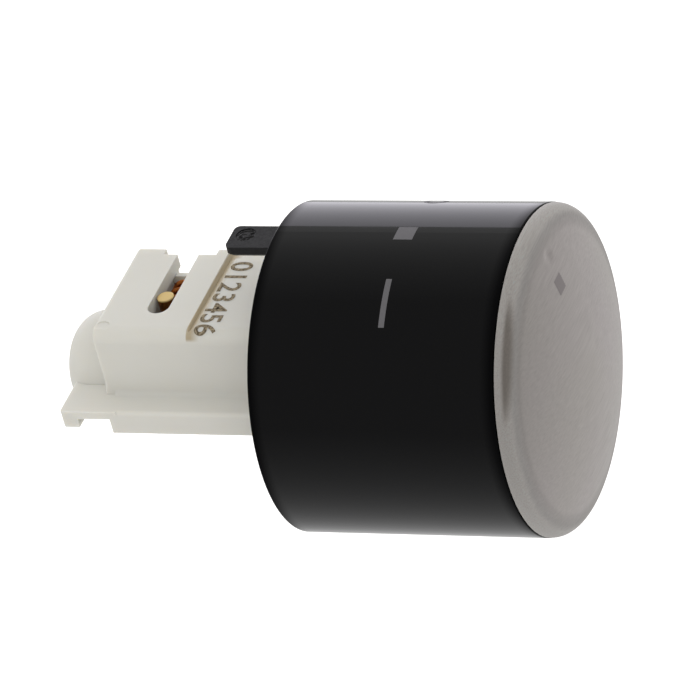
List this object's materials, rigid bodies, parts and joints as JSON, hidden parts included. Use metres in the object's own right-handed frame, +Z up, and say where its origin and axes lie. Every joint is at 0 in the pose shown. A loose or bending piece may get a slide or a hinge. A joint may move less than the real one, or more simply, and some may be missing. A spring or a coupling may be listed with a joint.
{
  "type": "retractable control knob",
  "caption": "Round push-push control knob: a sleeve with a domed cap slides on a moulded carrier that takes a flatted shaft, held in by a cam-and-pin latch.",
  "frame": {"origin": "centre of the shaft hole's mouth, on the end face of the carrier's boss", "axes": "+Y along the knob's axis towards the shaft, so the cap faces -Y; +Z up through the follower pin, the slot and the tongue; +X to the right seen from the front"},
  "size_m": [0.032, 0.0529, 0.032],
  "materials": {
    "black_gloss": "gloss black lacquer",
    "brushed_cap": "brushed stainless",
    "foam_adhesive": "closed-cell foam",
    "black_moulding": "moulded matte",
    "spring_steel": "drawn wire",
    "zinc_screws": "zinc plated",
    "grey_acetal": "moulded acetal",
    "zinc_washer": "zinc plated",
    "white_acetal": "moulded acetal, natural",
    "slide_plastic": "moulded PTFE",
    "turned_brass": "turned",
    "bronze_wire": "phosphor bronze wire"
  },
  "bodies": {
    "carrier_body": {"carrier": "white_acetal", "guide_collar": "grey_acetal", "collar_screws": "zinc_screws", "slide_ring": "slide_plastic", "spring_washer_rear": "zinc_washer", "return_spring": "spring_steel", "bias_spring": "bronze_wire", "bias_spring_plate": "white_acetal"},
    "knob": {"outer_sleeve": "black_gloss", "front_cap": "brushed_cap", "cap_adhesive_disc": "foam_adhesive", "knob_core": "black_moulding", "sleeve_snap_ring": "spring_steel", "guide_tongue": "black_moulding", "stop_screws": "zinc_screws", "latch_slider": "grey_acetal", "slider_screws": "zinc_screws", "shaft_clip": "spring_steel", "spring_washer_front": "zinc_washer"},
    "follower": {"follower_pin": "turned_brass"}
  },
  "joints": [
    {"name": "knob_push", "type": "slide", "parent": "carrier_body", "child": "knob", "axis": [0, 1, 0], "range_m": [0, 0.0077], "stiffness_N_per_m": 300, "springref_m": -0.006, "deforming": ["return_spring"]},
    {"name": "pin_swing", "type": "slide", "parent": "carrier_body", "child": "follower", "axis": [1, 0, 0], "range_m": [-0.0013, 0.0013], "deforming": ["bias_spring"]}
  ],
  "couplings": [
    {"joint": "pin_swing", "follows": "knob_push", "ratio": 0.16883}
  ]
}
